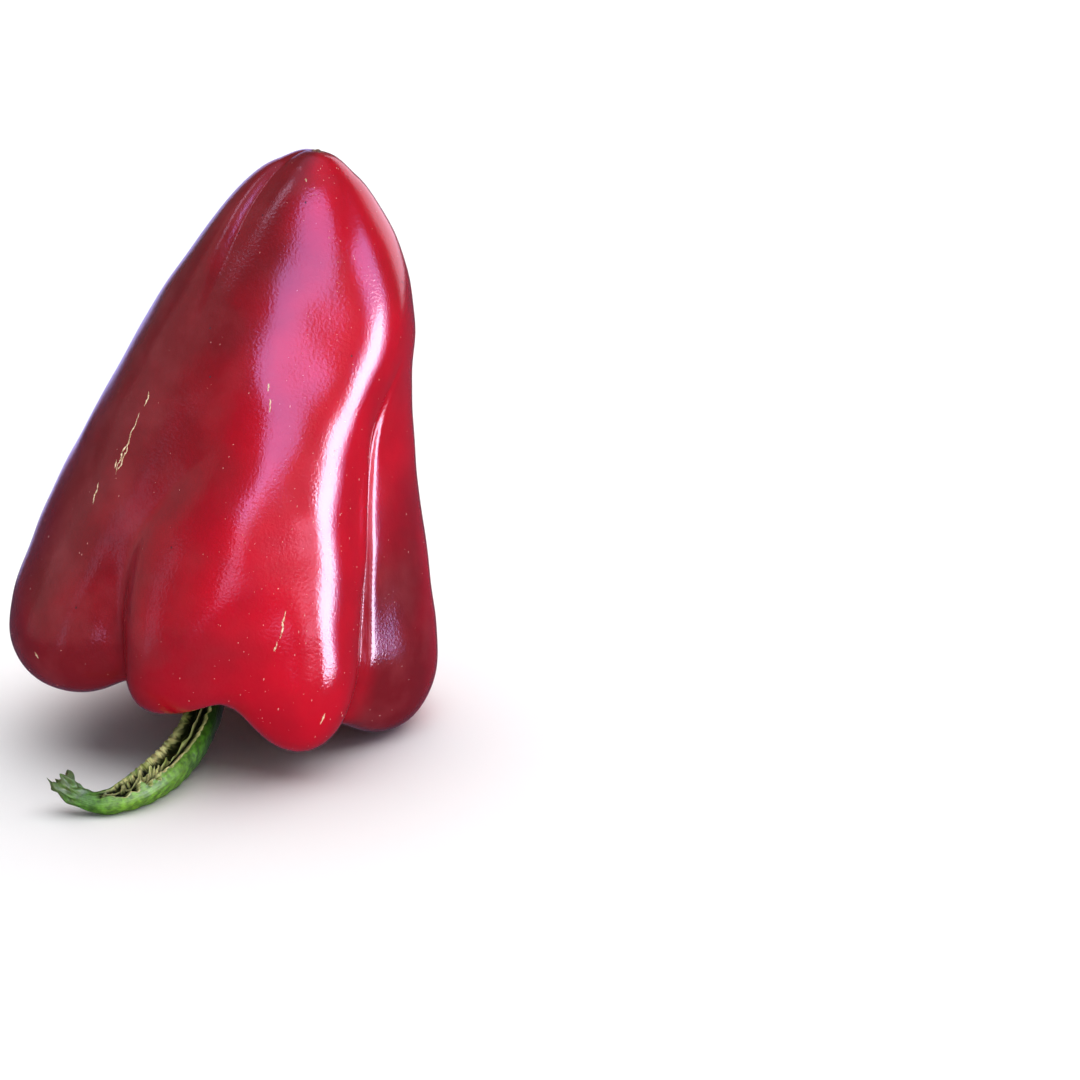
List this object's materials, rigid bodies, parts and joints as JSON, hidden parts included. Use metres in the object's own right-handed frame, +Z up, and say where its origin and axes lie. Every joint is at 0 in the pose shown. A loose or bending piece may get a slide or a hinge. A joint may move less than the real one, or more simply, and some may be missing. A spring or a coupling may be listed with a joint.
{
  "type": "sweet pepper",
  "caption": "Whole ripe red sweet pepper with deep lobes, standing on its shoulders with the blossom end up, its torn green stem curling out from under it.",
  "frame": {"origin": "on the table, under the middle of the whole pepper's box", "axes": "+Z up, from the table to the blossom end; +Y away from the front, where the stem comes out; +X to the right, the way the blossom end tilts"},
  "size_m": [0.0782, 0.0818, 0.1064],
  "materials": {
    "fruit_skin": "waxy gloss",
    "calyx_green": "satin",
    "stem_green": "satin, torn fibres"
  },
  "bodies": {
    "root": {"fruit": "fruit_skin", "calyx": "calyx_green", "stem": "stem_green"}
  },
  "joints": []
}
